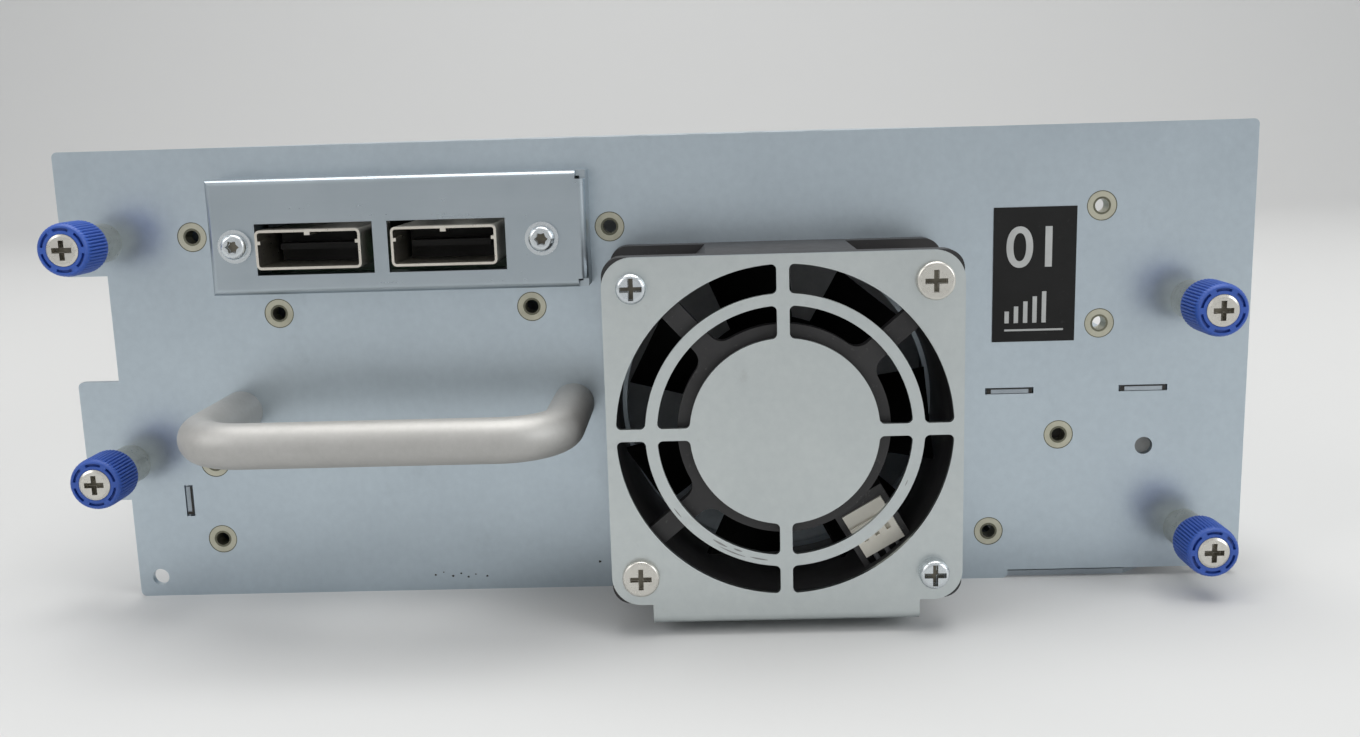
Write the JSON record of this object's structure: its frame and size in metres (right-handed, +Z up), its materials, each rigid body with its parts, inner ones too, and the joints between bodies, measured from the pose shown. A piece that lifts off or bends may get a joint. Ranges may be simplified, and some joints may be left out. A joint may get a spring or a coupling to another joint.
{
  "type": "tape drive module",
  "caption": "Tape drive in a sheet-metal sled with a zinc rear panel, guarded fan, covered data sockets, bow handle and captive thumbscrews.",
  "frame": {"origin": "centre of the whole box in X and Y, at its underside", "axes": "+X to the right seen from the rear panel's outer side, +Y from the panel into the module, +Z up"},
  "size_m": [0.2194, 0.2886, 0.0854],
  "materials": {
    "zinc_panel": "bluish zinc, fine grain",
    "zinc_cover": "bluish zinc, rolled lines",
    "zinc_inner": "zinc",
    "zinc_tray": "zinc, satin",
    "guard_zinc": "bright zinc",
    "ferrule_zinc": "bright zinc",
    "nut_steel": "yellowish zinc",
    "screw_zinc": "bright zinc",
    "screw_nickel": "nickel",
    "shell_nickel": "nickel",
    "spring_steel": "drawn wire",
    "handle_aluminium": "satin anodised",
    "drive_metal": "satin",
    "coil_copper": "enamelled wire",
    "label_film": "satin black film",
    "plastic_black": "matte",
    "fan_black": "matte",
    "fan_rotor_black": "satin",
    "board_green": "solder mask",
    "plug_white": "natural nylon",
    "lead_black": "wire insulation",
    "knob_blue": "satin moulded",
    "bezel_plastic": "fine texture",
    "door_plastic": "satin",
    "button_plastic": "satin",
    "light_clear": "clear light guide"
  },
  "bodies": {
    "module": {"rear_panel": "zinc_panel", "clinch_nuts": "nut_steel", "fan_nuts": "nut_steel", "label_plate": "label_film", "handle": "handle_aluminium", "handle_screws": "screw_zinc", "connector_cover": "zinc_cover", "cover_screws": "screw_zinc", "socket_bracket": "zinc_inner", "socket_board": "board_green", "board_plug": "plastic_black", "socket_shell_left": "shell_nickel", "socket_shell_right": "shell_nickel", "socket_contacts_left": "plastic_black", "socket_contacts_right": "plastic_black", "fan_frame": "fan_black", "fan_stator": "coil_copper", "fan_plug": "plug_white", "fan_leads": "lead_black", "fan_guard": "guard_zinc", "guard_screws_pan": "screw_zinc", "guard_screws_flat": "screw_nickel", "thumbscrew_ferrules": "ferrule_zinc", "sled_tray": "zinc_tray", "top_cover": "zinc_tray", "drive_screws_left": "screw_zinc", "drive_screws_right": "screw_zinc", "lid_screws_left": "screw_zinc", "lid_screws_right": "screw_zinc", "side_bracket": "zinc_tray", "signal_board": "board_green", "lead_header": "plug_white", "blind_mate_plug": "plastic_black", "drive_chassis": "drive_metal", "drive_lid": "drive_metal", "drive_board": "board_green", "drive_socket": "plastic_black", "drive_bezel": "bezel_plastic", "status_lights": "light_clear"},
    "rotor": {"fan_rotor": "fan_rotor_black"},
    "door": {"cartridge_door": "door_plastic"},
    "button": {"eject_button": "button_plastic"},
    "upper_left_spring": {"thumbscrew_spring_upper_left": "spring_steel"},
    "upper_left_knob": {"thumbscrew_knob_upper_left": "knob_blue", "thumbscrew_screw_upper_left": "screw_nickel"},
    "lower_left_spring": {"thumbscrew_spring_lower_left": "spring_steel"},
    "lower_left_knob": {"thumbscrew_knob_lower_left": "knob_blue", "thumbscrew_screw_lower_left": "screw_nickel"},
    "upper_right_spring": {"thumbscrew_spring_upper_right": "spring_steel"},
    "upper_right_knob": {"thumbscrew_knob_upper_right": "knob_blue", "thumbscrew_screw_upper_right": "screw_nickel"},
    "lower_right_spring": {"thumbscrew_spring_lower_right": "spring_steel"},
    "lower_right_knob": {"thumbscrew_knob_lower_right": "knob_blue", "thumbscrew_screw_lower_right": "screw_nickel"}
  },
  "joints": [
    {"name": "fan_spin", "type": "hinge", "parent": "module", "child": "rotor", "pos_m": [0.0222, -0.12375, 0.0358], "axis": [0, 1, 0], "continuous": true},
    {"name": "door_swing", "type": "hinge", "parent": "module", "child": "door", "pos_m": [-0.01545, 0.13985, 0.076], "axis": [1, 0, 0], "range_deg": [-80, 0], "stiffness_Nm_per_rad": 0.01, "springref_deg": 28.65},
    {"name": "eject_press", "type": "slide", "parent": "module", "child": "button", "axis": [0, -1, 0], "range_m": [0, 0.0014], "stiffness_N_per_m": 600, "springref_m": -0.0012},
    {"name": "upper_left_press", "type": "slide", "parent": "module", "child": "upper_left_spring", "axis": [0, 1, 0], "range_m": [0, 0.004], "stiffness_N_per_m": 500, "springref_m": -0.003, "deforming": ["thumbscrew_spring_upper_left"]},
    {"name": "upper_left_turn", "type": "hinge", "parent": "upper_left_spring", "child": "upper_left_knob", "pos_m": [-0.10185, -0.12275, 0.0687], "axis": [0, 1, 0], "continuous": true},
    {"name": "lower_left_press", "type": "slide", "parent": "module", "child": "lower_left_spring", "axis": [0, 1, 0], "range_m": [0, 0.004], "stiffness_N_per_m": 500, "springref_m": -0.003, "deforming": ["thumbscrew_spring_lower_left"]},
    {"name": "lower_left_turn", "type": "hinge", "parent": "lower_left_spring", "child": "lower_left_knob", "pos_m": [-0.10085, -0.12275, 0.0266], "axis": [0, 1, 0], "continuous": true},
    {"name": "upper_right_press", "type": "slide", "parent": "module", "child": "upper_right_spring", "axis": [0, 1, 0], "range_m": [0, 0.004], "stiffness_N_per_m": 500, "springref_m": -0.003, "deforming": ["thumbscrew_spring_upper_right"]},
    {"name": "upper_right_turn", "type": "hinge", "parent": "upper_right_spring", "child": "upper_right_knob", "pos_m": [0.09855, -0.12275, 0.053], "axis": [0, 1, 0], "continuous": true},
    {"name": "lower_right_press", "type": "slide", "parent": "module", "child": "lower_right_spring", "axis": [0, 1, 0], "range_m": [0, 0.004], "stiffness_N_per_m": 500, "springref_m": -0.003, "deforming": ["thumbscrew_spring_lower_right"]},
    {"name": "lower_right_turn", "type": "hinge", "parent": "lower_right_spring", "child": "lower_right_knob", "pos_m": [0.09895, -0.12275, 0.0094], "axis": [0, 1, 0], "continuous": true}
  ]
}
